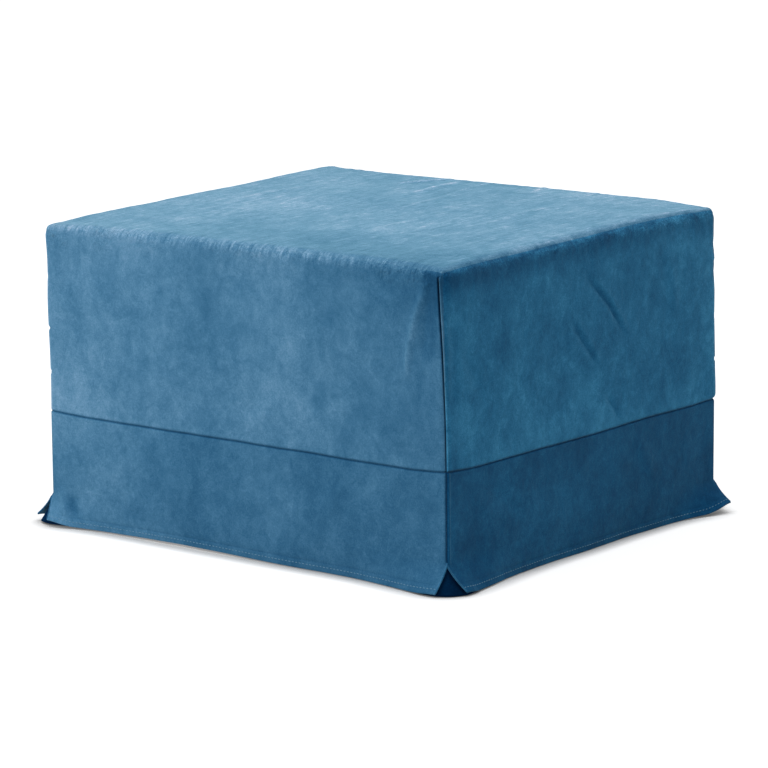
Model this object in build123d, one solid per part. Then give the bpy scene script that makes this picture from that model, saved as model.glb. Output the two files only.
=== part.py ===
from build123d import *
import os
from math import cos, radians, sin

# A guest bed in three sections, folded up like a Z under a loose cloth cover.
# X runs across the bed and Y along it. The bed opens towards -Y, and Z is up from the floor.
# The folded stack stands at the origin: base below, middle upside down on it, foot section on top.

# Stack heights
leg_height = 115.0  # floor to the underside of the open bed's frames
tube = 25.0  # square frame tube
pad_thickness = 79.7
seat_gap = 0.3  # pad to the rails that carry it
pad_fold_gap = 1.0  # between two pads that face each other when folded
leg_gap = 26.0  # between the back-to-back frames, room for the folded legs
cover_rest_gap = 0.5
cloth = 2.5

# Plan sizes
rail_half_width = 350.5  # outer faces of the base and foot rails
rail_step = 4.5  # the middle rails stand this much further out
front_axis_y = -311.5
back_axis_y = 291.5
base_head_y = 285.0
foot_end_y = -321.5
foot_overhang = 20.0  # foot frame past the back axis when folded
end_gap = 3.0  # rail end to the plane where two sections meet
pad_side_overhang = 13.5  # pad past the outer face of the rails
pad_end_gap = 1.0
foot_pad_back_overhang = 16.0  # pad past the ends of the foot rails
foot_pad_front_overhang = 4.0
head_pad_setback = 2.0
cover_side_ease = 4.5  # pad to the inside of the cover
cover_end_ease = 4.0

# Square tube frames
tube_wall = 1.5
tube_corner = 3.0
frame_bend = 27.5  # bend radius on the tube's centre line
cross_tube = 20.0
cross_inset = 12.5  # rail end to the cross tube's centre line

# Round tube legs
leg_tube = 22.0
leg_wall = 1.2
leg_bend = 35.0
glide_height = 4.0
glide_length = 28.0
glide_width = 26.0
glide_wrap = 8.0  # how far the glide reaches up beside the tube
glide_inset = 60.0  # arm to the glide's middle
front_leg_inset = 72.5  # rail end to the front leg
rear_leg_inset = 59.0  # head of the frame to the rear leg

# Folding legs
inner_pivot_inset = 91.5  # from the back axis
outer_pivot_inset = 59.5  # from the foot end of the frame
arm_past_pivot = 6.0
ear_plate = 2.5
ear_radius = 11.0
ear_half_length = 16.0
ear_lap = 11.0  # how far an ear reaches up the rail
pivot_pin = 6.0
pivot_head = 10.0
pivot_head_height = 2.5
bush_diameter = 9.0
bush_end_gap = 0.15

# Hinges
plate = 4.0
plate_gap = 0.5  # between the two plates of a hinge
hinge_pin = 8.0
hinge_head = 16.0
hinge_head_height = 3.0
front_boss = 12.0  # radius of the plate's round end
back_boss = 11.5
plate_foot = 44.0  # weld length along the rail

# Fits
running_gap = 0.08  # radial, pin in a turning hole
fixed_gap = 0.03  # radial, pin or tube in a part that holds it

# Slats and their caps
slats_per_section = 6
slat_width = 70.0
slat_thickness = 8.0
slat_end_gap = 27.0  # section end to the first slat's side, room for the cross tube
slat_cap_wall = 2.0
slat_cap_length = 16.0
slat_cap_lip = 3.0
slat_fit = 0.2
cap_below_rail = 0.5

# Plugs, bumpers and straps
plug_flange = 2.0
plug_stem = 14.0
leg_plug_flange = 1.2
leg_plug_radius = 9.5
bumper_radius = 9.0
bumper_inset = 33.5  # from the foot end of the frame, under its bend
bumper_gap = 0.3
strap_width = 25.0
strap_thickness = 1.5
strap_gap = 0.3
strap_x = 180.0

# Pads
ticking = 1.5
core_gap = 0.3
pad_edge = 10.0
pad_corner = 18.0
notch_clearance = 2.0  # pad to the head of the front hinge pin
notch_length = 48.0
notch_corner = 6.0  # inner turn of the notch
notch_shoulder = 12.0  # outer turn of the notch
foot_pad_edge = 18.0
foot_pad_crown = 8.0

# Cover
seam_height = 170.0
slit_height = 45.0
hem_height = 2.0
hem_flare = 22.0
cover_edge = 22.0
cover_corner = 12.0
panel_gap = 0.2  # where two skirt panels pass at a corner
pleat_height = 64.0
pleat_wing = 34.0
pleat_cloth = 2.0
pleat_gap = 0.3

overrun = 5.0  # past the faces that a cut goes through

# Places that follow from the sizes above
base_rail_top = leg_height + tube
front_axis_z = base_rail_top + seat_gap + pad_thickness + pad_fold_gap / 2
middle_pad_bottom = front_axis_z + pad_fold_gap / 2
middle_rail_bottom = middle_pad_bottom + pad_thickness + seat_gap
middle_rail_top = middle_rail_bottom + tube
back_axis_z = middle_rail_top + leg_gap / 2
foot_rail_bottom = middle_rail_top + leg_gap
foot_rail_top = foot_rail_bottom + tube
foot_pad_bottom = foot_rail_top + seat_gap
foot_pad_top = foot_pad_bottom + pad_thickness
cover_height = foot_pad_top + cover_rest_gap + cloth
rail_x = rail_half_width - tube / 2
middle_half_width = rail_half_width + rail_step
pad_half_width = rail_half_width + pad_side_overhang
notch_depth = pad_side_overhang + hinge_head_height + notch_clearance
cover_half_width = pad_half_width + cover_side_ease + cloth
middle_rail_x = middle_half_width - tube / 2
front_rail_end = front_axis_y + end_gap
middle_back_end = back_axis_y - foot_overhang - end_gap
foot_back_end = back_axis_y + foot_overhang - end_gap
foot_pad_back_y = foot_back_end + foot_pad_back_overhang
foot_pad_front_y = foot_end_y - foot_pad_front_overhang
foot_pad_overhang = foot_pad_back_y - back_axis_y
cover_half_depth = max(foot_pad_back_y, -foot_pad_front_y) + cover_end_ease + cloth
middle_pad_back_y = back_axis_y - foot_pad_overhang - pad_end_gap
front_pad_end = front_axis_y + pad_end_gap
base_pad_head_y = base_head_y - head_pad_setback
base_front_leg_y = front_rail_end + front_leg_inset
base_rear_leg_y = base_head_y - rear_leg_inset
inner_pivot_y = back_axis_y - inner_pivot_inset
outer_pivot_y = foot_end_y + outer_pivot_inset
bumper_y = foot_end_y + bumper_inset
inner_plate_x = rail_half_width
outer_plate_x = rail_half_width + plate + plate_gap
pivot_to_floor = leg_height - leg_gap / 2
pivot_to_bar = pivot_to_floor - glide_height - leg_tube / 2

nodes = {}


def both_sides(*solids):
    """Each solid and its mirror image across the bed."""
    return [copy for s in solids for copy in (s, mirror(s, about=Plane.YZ))]


def slab(x, y, z):
    """A box between two corners, given as pairs for each axis."""
    size = [high - low for low, high in (x, y, z)]
    middle = [(high + low) / 2 for low, high in (x, y, z)]
    return Pos(*middle) * Box(*size)


def square_section(size):
    corner = tube_corner
    inner = size - 2 * tube_wall
    return RectangleRounded(size, size, corner) - RectangleRounded(inner, inner, corner - tube_wall)


def round_section():
    return Circle(leg_tube / 2) - Circle(leg_tube / 2 - leg_wall)


def straight_tube(section, start, end):
    run = Vector(*end) - Vector(*start)
    across = (0, 0, 1) if abs(run.normalized().Z) < 0.5 else (1, 0, 0)
    return extrude(Plane(origin=start, x_dir=across, z_dir=run) * section, amount=run.length)


def bent_tube(section, points, bend, across):
    path = FilletPolyline(*points, radius=bend)
    return sweep(Plane(origin=path @ 0, x_dir=across, z_dir=path % 0) * section, path=path)


def frame_bow(height, closed_y, open_y):
    """Two rails and the cross end that joins them, bent from one tube."""
    far = closed_y - tube / 2 if closed_y > open_y else closed_y + tube / 2
    points = [(-rail_x, open_y, height), (-rail_x, far, height)]
    points += [(rail_x, far, height), (rail_x, open_y, height)]
    return bent_tube(square_section(tube), points, frame_bend, (0, 0, 1))


def cross_bar(half_length, y, height):
    return straight_tube(square_section(cross_tube), (-half_length, y, height), (half_length, y, height))


def floor_leg(y, top):
    """A fixed leg of bent round tube, with its bar just above the floor."""
    bar = glide_height + leg_tube / 2
    points = [(-rail_x, y, top), (-rail_x, y, bar), (rail_x, y, bar), (rail_x, y, top)]
    return bent_tube(round_section(), points, leg_bend, (0, 1, 0))


def glide(x, y, bar):
    """A plastic foot snapped on the underside of a leg's bar."""
    low = bar - leg_tube / 2 - glide_height
    high = low + glide_height + glide_wrap
    block = slab(
        (x - glide_length / 2, x + glide_length / 2),
        (y - glide_width / 2, y + glide_width / 2),
        (low, high),
    )
    block = fillet(block.edges().filter_by(Axis.Z), radius=glide_height)
    trough = Pos(x, y, bar) * Rot(0, 90, 0) * Cylinder(leg_tube / 2 + fixed_gap, glide_length + overrun)
    return block - trough


def glide_pair(y, bar):
    return both_sides(glide(rail_x - glide_inset, y, bar))


def rail_plug(x, y, height, way):
    """A plastic plug in an open rail end. way is +1 or -1 along Y, out of the rail."""
    inner = tube - 2 * tube_wall - 2 * fixed_gap
    face = Plane(origin=(x, y, height), x_dir=(0, 0, 1), z_dir=(0, way, 0))
    flange = extrude(face * RectangleRounded(tube, tube, tube_corner), amount=plug_flange)
    stem = extrude(face * RectangleRounded(inner, inner, tube_corner - tube_wall), amount=-plug_stem)
    return flange + stem


def hinge_plate(x, axis_y, axis_z, boss, foot_y, foot_z, hole_gap):
    """A flat plate welded on a rail's outer face, with a round boss at the hinge axis."""
    corners = [(y, z) for y in foot_y for z in foot_z]
    loop = [corners[0], corners[1], corners[3], corners[2], corners[0]]
    outline = make_hull((Pos(axis_y, axis_z) * Circle(boss)).edges() + Polyline(*loop).edges())
    outline -= Pos(axis_y, axis_z) * Circle(hinge_pin / 2 + hole_gap)
    return extrude(Plane.YZ.offset(x) * outline, amount=plate)


def hinge_rivet(axis_y, axis_z):
    """A shouldered rivet through both plates, with a flat domed head at each end."""
    start = inner_plate_x - hinge_head_height
    end = outer_plate_x + plate + hinge_head_height
    shank = Pos((start + end) / 2, axis_y, axis_z) * Rot(0, 90, 0) * Cylinder(hinge_pin / 2, end - start)
    head = Cylinder(hinge_head / 2, hinge_head_height - running_gap)
    head = fillet(head.edges().group_by(Axis.Z)[-1], radius=hinge_head_height / 2)
    middle = (hinge_head_height - running_gap) / 2
    inner = Pos(start + middle, axis_y, axis_z) * Rot(0, -90, 0) * head
    outer = Pos(end - middle, axis_y, axis_z) * Rot(0, 90, 0) * head
    return shank + inner + outer


def slat_rows(low, high):
    margin = slat_end_gap + slat_width / 2
    first, last = low + margin, high - margin
    step = (last - first) / (slats_per_section - 1)
    return [first + step * i for i in range(slats_per_section)]


def slat(half_length, y, low):
    across = (y - slat_width / 2, y + slat_width / 2)
    board = slab((-half_length, half_length), across, (low, low + slat_thickness))
    return fillet(board.edges().filter_by(Axis.X), radius=slat_thickness / 4)


def slat_cap(rail_face, y, low):
    """A plastic pocket on the rail's inner face that holds a slat's end."""
    half = slat_width / 2 + slat_cap_wall
    block = slab(
        (rail_face - slat_cap_length, rail_face),
        (y - half, y + half),
        (low - slat_cap_wall, low + slat_thickness + slat_cap_wall),
    )
    block = fillet(block.edges().filter_by(Axis.X), radius=slat_cap_wall)
    pocket = slab(
        (rail_face - slat_cap_length - overrun, rail_face - slat_cap_lip),
        (y - slat_width / 2 - slat_fit, y + slat_width / 2 + slat_fit),
        (low - slat_fit, low + slat_thickness + slat_fit),
    )
    return block - pocket


def slatted(name, rail_face, low_y, high_y, slat_low):
    """The slats of one section and the caps at both ends of each."""
    rows = slat_rows(low_y, high_y)
    half = rail_face - slat_cap_lip - slat_fit
    nodes[f"{name}_slats"] = [slat(half, y, slat_low) for y in rows]
    nodes[f"{name}_slat_caps"] = [c for y in rows for c in both_sides(slat_cap(rail_face, y, slat_low))]
    return rows


def strap(x, y, slat_low, pad_face):
    """A webbing loop sewn on the pad's underside and closed round a slat."""
    half = slat_width / 2 + strap_gap
    far = slat_low - strap_gap if pad_face > slat_low else slat_low + slat_thickness + strap_gap
    near = slat_low + slat_thickness + strap_gap if pad_face > slat_low else slat_low - strap_gap
    out = strap_thickness if pad_face > slat_low else -strap_thickness
    across = (x - strap_width / 2, x + strap_width / 2)
    outside = (y - half - strap_thickness, y + half + strap_thickness)
    loop = slab(across, outside, sorted((far - out, pad_face)))
    room = (across[0] - overrun, across[1] + overrun)
    return loop - slab(room, (y - half, y + half), sorted((far, near)))


def strap_set(rows, slat_low, pad_face):
    return [s for y in (rows[1], rows[-2]) for s in both_sides(strap(strap_x, y, slat_low, pad_face))]


def notched_plan(low_y, high_y, shrink):
    """A pad's outline, cut in at the two corners beside the front hinge."""
    half = pad_half_width - shrink
    waist = half - notch_depth
    low, high, step = low_y + shrink, high_y - shrink, low_y + notch_length + shrink
    right = [(waist, low), (waist, step), (half, step), (half, high)]
    turns = [pad_corner - shrink, notch_corner + shrink, notch_shoulder - shrink, pad_corner - shrink]
    left = [(-x, y) for x, y in right[::-1]]
    return make_face(FilletPolyline(*right, *left, radius=turns + turns[::-1], close=True))


def notched_block(low_y, high_y, bottom, top, shrink):
    plan = notched_plan(low_y, high_y, shrink)
    block = extrude(Plane.XY.offset(bottom + shrink) * plan, amount=top - bottom - 2 * shrink)
    rims = block.edges().group_by(Axis.Z)
    return fillet(rims[0] + rims[-1], radius=pad_edge - shrink)


def ring(half_x, half_y, corner, height):
    outline = RectangleRounded(2 * half_x, 2 * half_y, corner)
    return Plane.XY.offset(height) * outline


# Turn of the rounded edge at each ring of a soft block, and rings of its crowned top
turn_shares = (0.0, 0.25, 0.5, 0.75, 0.95)
crown_shares = ((0.12, 0.23), (0.26, 0.45), (0.45, 0.7), (0.7, 0.92), (0.92, 1.0))


def soft_rings(half_x, half_y, top, edge, corner, crown):
    """Rings from the foot of the rounded top edge up over the crown."""
    rim = top - crown
    least = corner / 4
    rings = []
    for share in turn_shares:
        inset = edge * (1 - cos(radians(90 * share)))
        rise = rim - edge + edge * sin(radians(90 * share))
        rings.append(ring(half_x - inset, half_y - inset, max(corner - inset / 2, least), rise))
    for share, rise_share in crown_shares:
        inset = edge + (min(half_x, half_y) - edge) * share
        rings.append(ring(half_x - inset, half_y - inset, least, rim + crown * rise_share))
    return rings


def soft_block(half_x, half_y, bottom, top, edge, corner, crown, foot_edge=0):
    """A stuffed or draped block with a rounded top edge and a crowned top."""
    rings = []
    for share in turn_shares[::-1] if foot_edge else ():
        inset = foot_edge * (1 - cos(radians(90 * share)))
        drop = foot_edge * (1 - sin(radians(90 * share)))
        rings.append(ring(half_x - inset, half_y - inset, max(corner - inset / 2, corner / 4), bottom + drop))
    if not foot_edge:
        rings.append(ring(half_x, half_y, corner, bottom))
    rings += soft_rings(half_x, half_y, top, edge, corner, crown)
    return loft(rings, ruled=True)


def ticked_pad(name, outer, inner, core):
    """A pad's sewn ticking and the foam core inside it."""
    nodes[f"{name}_ticking"] = [outer - inner]
    nodes[f"{name}_foam_core"] = [core]


def base_section():
    rail_z = leg_height + tube / 2
    nodes["base_frame"] = [frame_bow(rail_z, base_head_y, front_rail_end)]
    bar_z = leg_height + cross_tube / 2
    nodes["base_cross_tube"] = [cross_bar(rail_x - tube / 2, front_rail_end + cross_inset, bar_z)]
    nodes["base_front_leg"] = [floor_leg(base_front_leg_y, leg_height)]
    nodes["base_rear_leg"] = [floor_leg(base_rear_leg_y, leg_height)]
    bar = glide_height + leg_tube / 2
    nodes["base_glides"] = glide_pair(base_front_leg_y, bar) + glide_pair(base_rear_leg_y, bar)
    nodes["base_rail_plugs"] = both_sides(rail_plug(rail_x, front_rail_end, rail_z, -1))
    foot_y = (front_rail_end, front_rail_end + plate_foot)
    foot_z = (leg_height, base_rail_top)
    nodes["base_hinge_plates"] = both_sides(
        hinge_plate(inner_plate_x, front_axis_y, front_axis_z, front_boss, foot_y, foot_z, fixed_gap)
    )
    nodes["front_hinge_pins"] = both_sides(hinge_rivet(front_axis_y, front_axis_z))
    slat_low = base_rail_top - cap_below_rail - slat_cap_wall - slat_thickness
    rows = slatted("base", rail_x - tube / 2, front_rail_end, base_head_y - tube, slat_low)
    pad_bottom = base_rail_top + seat_gap
    nodes["head_pad_straps"] = strap_set(rows, slat_low, pad_bottom)
    span = (front_pad_end, base_pad_head_y, pad_bottom, pad_bottom + pad_thickness)
    ticked_pad("head_pad", *[notched_block(*span, shrink) for shrink in (0, ticking, ticking + core_gap)])


def middle_section():
    rail_z = middle_rail_bottom + tube / 2
    ends = (front_rail_end, middle_back_end)
    rail = straight_tube(square_section(tube), *[(middle_rail_x, y, rail_z) for y in ends])
    nodes["middle_rails"] = both_sides(rail)
    half = middle_rail_x - tube / 2
    bar_z = middle_rail_top - cross_tube / 2
    nodes["middle_cross_tubes"] = [
        cross_bar(half, front_rail_end + cross_inset, bar_z),
        cross_bar(half, middle_back_end - cross_inset, bar_z),
    ]
    nodes["middle_rail_plugs"] = both_sides(
        rail_plug(middle_rail_x, front_rail_end, rail_z, -1),
        rail_plug(middle_rail_x, middle_back_end, rail_z, 1),
    )
    rail_span = (middle_rail_bottom, middle_rail_top)
    front_foot = (front_rail_end, front_rail_end + plate_foot)
    back_foot = (middle_back_end - plate_foot, middle_back_end)
    nodes["middle_front_hinge_plates"] = both_sides(
        hinge_plate(outer_plate_x, front_axis_y, front_axis_z, front_boss, front_foot, rail_span, running_gap)
    )
    nodes["middle_back_hinge_plates"] = both_sides(
        hinge_plate(outer_plate_x, back_axis_y, back_axis_z, back_boss, back_foot, rail_span, running_gap)
    )
    slat_low = middle_rail_bottom + cap_below_rail + slat_cap_wall
    rows = slatted("middle", half, *ends, slat_low)
    pad_top = middle_pad_bottom + pad_thickness
    nodes["middle_pad_straps"] = strap_set(rows, slat_low, pad_top)
    span = (front_pad_end, middle_pad_back_y, middle_pad_bottom, pad_top)
    ticked_pad("middle_pad", *[notched_block(*span, shrink) for shrink in (0, ticking, ticking + core_gap)])
    tall = leg_gap - bumper_gap
    bumper = Pos(rail_x, bumper_y, middle_rail_top + tall / 2) * Cylinder(bumper_radius, tall)
    nodes["rest_bumpers"] = both_sides(fillet(bumper.edges().group_by(Axis.Z)[-1], radius=bumper_radius / 4))


def leg_ear(x, pivot_y):
    corners = (pivot_y - ear_half_length, pivot_y + ear_half_length)
    lap = (foot_rail_bottom, foot_rail_bottom + ear_lap)
    loop = [(corners[0], lap[0]), (corners[1], lap[0]), (corners[1], lap[1]), (corners[0], lap[1])]
    circle = (Pos(pivot_y, back_axis_z) * Circle(ear_radius)).edges()
    outline = make_hull(circle + Polyline(*loop, close=True).edges())
    outline -= Pos(pivot_y, back_axis_z) * Circle(pivot_pin / 2 + fixed_gap)
    return extrude(Plane.YZ.offset(x) * outline, amount=ear_plate)


def pivot_rivet(pivot_y):
    start = rail_x - tube / 2 - ear_plate
    end = rail_half_width + ear_plate
    lie = Pos((start + end) / 2, pivot_y, back_axis_z) * Rot(0, 90, 0)
    head = Cylinder(pivot_head / 2, pivot_head_height)
    head = fillet(head.edges().group_by(Axis.Z)[-1], radius=pivot_head_height / 2)
    shank = lie * Cylinder(pivot_pin / 2, end - start)
    inner = Pos(start - pivot_head_height / 2, pivot_y, back_axis_z) * Rot(0, -90, 0) * head
    outer = Pos(end + pivot_head_height / 2, pivot_y, back_axis_z) * Rot(0, 90, 0) * head
    return shank + inner + outer


def foot_section():
    rail_z = foot_rail_bottom + tube / 2
    nodes["foot_frame"] = [frame_bow(rail_z, foot_end_y, foot_back_end)]
    half = rail_x - tube / 2
    bar_z = foot_rail_bottom + cross_tube / 2
    nodes["foot_cross_tube"] = [cross_bar(half, foot_back_end - cross_inset, bar_z)]
    nodes["foot_rail_plugs"] = both_sides(rail_plug(rail_x, foot_back_end, rail_z, 1))
    plate_span = (foot_back_end - plate_foot, foot_back_end)
    nodes["foot_hinge_plates"] = both_sides(
        hinge_plate(
            inner_plate_x,
            back_axis_y,
            back_axis_z,
            back_boss,
            plate_span,
            (foot_rail_bottom, foot_rail_top),
            fixed_gap,
        )
    )
    nodes["back_hinge_pins"] = both_sides(hinge_rivet(back_axis_y, back_axis_z))
    ear_xs = (half - ear_plate, rail_half_width)
    pivots = (inner_pivot_y, outer_pivot_y)
    nodes["leg_ears"] = both_sides(*[leg_ear(x, y) for y in pivots for x in ear_xs])
    nodes["leg_pivot_pins"] = both_sides(*[pivot_rivet(y) for y in pivots])
    slat_low = foot_rail_top - cap_below_rail - slat_cap_wall - slat_thickness
    rows = slatted("foot", half, foot_end_y + tube, foot_back_end, slat_low)
    nodes["foot_pad_straps"] = strap_set(rows, slat_low, foot_pad_bottom)
    middle_y = (foot_pad_front_y + foot_pad_back_y) / 2
    half_y = (foot_pad_back_y - foot_pad_front_y) / 2

    def block(shrink):
        return Pos(0, middle_y, 0) * soft_block(
            pad_half_width - shrink,
            half_y - shrink,
            foot_pad_bottom + shrink,
            foot_pad_top - shrink,
            foot_pad_edge - shrink,
            pad_corner - shrink,
            foot_pad_crown,
            pad_edge - shrink,
        )

    ticked_pad("foot_pad", *[block(shrink) for shrink in (0, ticking, ticking + core_gap)])


def folding_leg(name, pivot_y, turn):
    """A U leg with its bushes, end plugs and glides, turned up from its standing position."""
    points = [(-rail_x, 0, arm_past_pivot), (-rail_x, 0, -pivot_to_bar)]
    points += [(rail_x, 0, -pivot_to_bar), (rail_x, 0, arm_past_pivot)]
    tube_leg = bent_tube(round_section(), points, leg_bend, (0, 1, 0))
    hole = Rot(0, 90, 0) * Cylinder(bush_diameter / 2 + fixed_gap, 2 * rail_half_width + overrun)
    bush = Cylinder(bush_diameter / 2, tube - 2 * bush_end_gap)
    bush -= Cylinder(pivot_pin / 2 + running_gap, tube + overrun)
    bush = Pos(rail_x, 0, 0) * Rot(0, 90, 0) * bush
    stem_length = arm_past_pivot - bush_diameter / 2 - running_gap
    bore = leg_tube / 2 - leg_wall - fixed_gap
    flange = Pos(rail_x, 0, arm_past_pivot + leg_plug_flange / 2) * Cylinder(leg_plug_radius, leg_plug_flange)
    stem = Pos(rail_x, 0, arm_past_pivot - stem_length / 2) * Cylinder(bore, stem_length)
    place = Pos(0, pivot_y, back_axis_z) * Rot(turn, 0, 0)
    nodes[name] = [place * (tube_leg - hole)]
    nodes[f"{name}_bushes"] = [place * s for s in both_sides(bush)]
    nodes[f"{name}_end_plugs"] = [place * s for s in both_sides(flange + stem)]
    nodes[f"{name}_glides"] = [place * s for s in glide_pair(0, -pivot_to_bar)]


# Where a skirt panel leaves the upright, along its half length, and how far at each height
along_shares = (-1.0, -0.965, -0.92, -0.85, -0.72, 0.72, 0.85, 0.92, 0.965, 1.0)
flare_shares = (1.0, 0.72, 0.42, 0.16, 0.0, 0.0, 0.16, 0.42, 0.72, 1.0)
drop_shares = ((0.0, 1.0), (0.35, 0.52), (0.7, 0.16), (1.0, 0.0))


def skirt_strip(half_length, inner_face, height, flare):
    """One level of a skirt panel, as seen from above, with its outer side towards -Y."""
    inner = [(half_length * a, -inner_face - flare * f) for a, f in zip(along_shares, flare_shares)]
    outer = [(x, y - cloth) for x, y in inner[::-1]]
    return Plane.XY.offset(height) * make_face(Polyline(*inner, *outer, close=True))


def skirt_panel(half_length, inner_face):
    rise = slit_height - hem_height
    levels = [
        skirt_strip(half_length, inner_face, hem_height + rise * up_share, hem_flare * out_share)
        for up_share, out_share in drop_shares
    ]
    levels.append(skirt_strip(half_length, inner_face, seam_height, 0))
    return loft(levels, ruled=True)


def corner_pleat(way_x, way_y):
    """Two short wings of cloth behind the slit at one corner."""
    far_x = cover_half_width - cloth - pleat_gap
    far_y = cover_half_depth - cloth - pleat_gap
    wing_x = slab((far_x - pleat_wing, far_x), (far_y - pleat_cloth, far_y), (hem_height, pleat_height))
    wing_y = slab((far_x - pleat_cloth, far_x), (far_y - pleat_wing, far_y), (hem_height, pleat_height))
    pleat = wing_x + wing_y
    pleat = mirror(pleat, about=Plane.YZ) if way_x < 0 else pleat
    return mirror(pleat, about=Plane.XZ) if way_y < 0 else pleat


def cover():
    def shell(shrink, bottom):
        return soft_block(
            cover_half_width - shrink,
            cover_half_depth - shrink,
            bottom,
            cover_height - shrink,
            cover_edge - shrink,
            cover_corner - shrink,
            foot_pad_crown,
        )

    nodes["cover_body"] = [shell(0, seam_height) - shell(cloth, seam_height - overrun)]
    inner_y = cover_half_depth - cloth
    inner_x = cover_half_width - cloth
    across = skirt_panel(inner_x - panel_gap, inner_y)
    along = Rot(0, 0, 90) * skirt_panel(cover_half_depth, inner_x)
    nodes["skirt_front"] = [across]
    nodes["skirt_back"] = [mirror(across, about=Plane.XZ)]
    nodes["skirt_right"] = [along]
    nodes["skirt_left"] = [mirror(along, about=Plane.YZ)]
    sides = {"front_right": (1, -1), "front_left": (-1, -1), "back_right": (1, 1), "back_left": (-1, 1)}
    for side, ways in sides.items():
        nodes[f"corner_pleat_{side}"] = [corner_pleat(*ways)]


base_section()
middle_section()
foot_section()
folding_leg("inner_leg", inner_pivot_y, -90)
folding_leg("outer_leg", outer_pivot_y, 90)
cover()

os.makedirs("parts", exist_ok=True)
for name, pieces in nodes.items():
    solids = [solid for piece in pieces for solid in piece.solids()]
    export_step(solids[0] if len(solids) == 1 else Compound(children=solids), f"parts/{name}.step")
print(len(nodes), "nodes, cover top at", cover_height)
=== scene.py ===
import math

import bmesh
import bpy
import numpy as np
from mathutils import Matrix, Vector, noise


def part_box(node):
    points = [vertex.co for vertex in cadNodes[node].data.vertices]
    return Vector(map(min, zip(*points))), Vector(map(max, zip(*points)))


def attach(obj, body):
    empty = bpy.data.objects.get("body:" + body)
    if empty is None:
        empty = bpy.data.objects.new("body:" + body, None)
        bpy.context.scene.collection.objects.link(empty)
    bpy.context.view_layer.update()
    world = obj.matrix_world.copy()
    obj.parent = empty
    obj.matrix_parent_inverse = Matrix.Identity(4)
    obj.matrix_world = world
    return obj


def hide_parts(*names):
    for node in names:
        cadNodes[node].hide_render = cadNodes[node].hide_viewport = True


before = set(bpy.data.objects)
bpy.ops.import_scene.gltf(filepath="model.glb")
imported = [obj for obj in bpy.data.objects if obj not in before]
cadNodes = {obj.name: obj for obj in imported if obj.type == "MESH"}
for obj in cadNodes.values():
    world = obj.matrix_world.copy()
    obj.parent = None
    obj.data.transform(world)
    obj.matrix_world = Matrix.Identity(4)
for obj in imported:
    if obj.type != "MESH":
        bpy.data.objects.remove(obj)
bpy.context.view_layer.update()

print("frame loaded,", len(cadNodes), "nodes")


def ease(x, low, high):
    t = np.clip((np.asarray(x, float) - low) / (high - low), 0, 1)
    return t * t * (3 - 2 * t)


def hump(x, width):
    return np.exp(-((np.asarray(x, float) / width) ** 2))


def ripple(points, size, seed=0.0):
    # soft noise between -1 and 1 at each point, size is the length of one swell in metres
    return np.array([noise.noise(Vector((p[0] / size + seed, p[1] / size - seed, p[2] / size))) for p in points])


def plug(tree, inlet, value):
    # a wire is linked to the inlet, a plain value is set on it
    if isinstance(value, Wire):
        tree.links.new(value.socket, inlet)
    else:
        inlet.default_value = value


def combined(tree, kind, operation, *values):
    node = tree.nodes.new(kind)
    node.operation = operation
    for inlet, value in zip(node.inputs, values):
        plug(tree, inlet, value)
    return Wire(tree, node.outputs[0])


class Wire:
    # a shader socket that takes Python maths
    def __init__(self, tree, socket):
        self.tree, self.socket = tree, socket

    def maths(self, operation, *others):
        return combined(self.tree, "ShaderNodeMath", operation, self, *others)

    def __add__(self, other):
        return self.maths("ADD", other)

    def __sub__(self, other):
        return self.maths("SUBTRACT", other)

    def __mul__(self, other):
        return self.maths("MULTIPLY", other)

    def __pow__(self, other):
        return self.maths("POWER", other)

    def __rsub__(self, other):
        return self * -1.0 + other

    __radd__ = __add__
    __rmul__ = __mul__

    def powerOf(self, base):
        return combined(self.tree, "ShaderNodeMath", "POWER", base, self)

    def sine(self):
        return self.maths("SINE")

    def above(self, low, high):
        # 0 below low, 1 above high, eased between
        node = self.tree.nodes.new("ShaderNodeMapRange")
        node.interpolation_type = "SMOOTHSTEP"
        for name, value in (("Value", self), ("From Min", low), ("From Max", high)):
            plug(self.tree, node.inputs[name], value)
        return Wire(self.tree, node.outputs[0])


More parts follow.
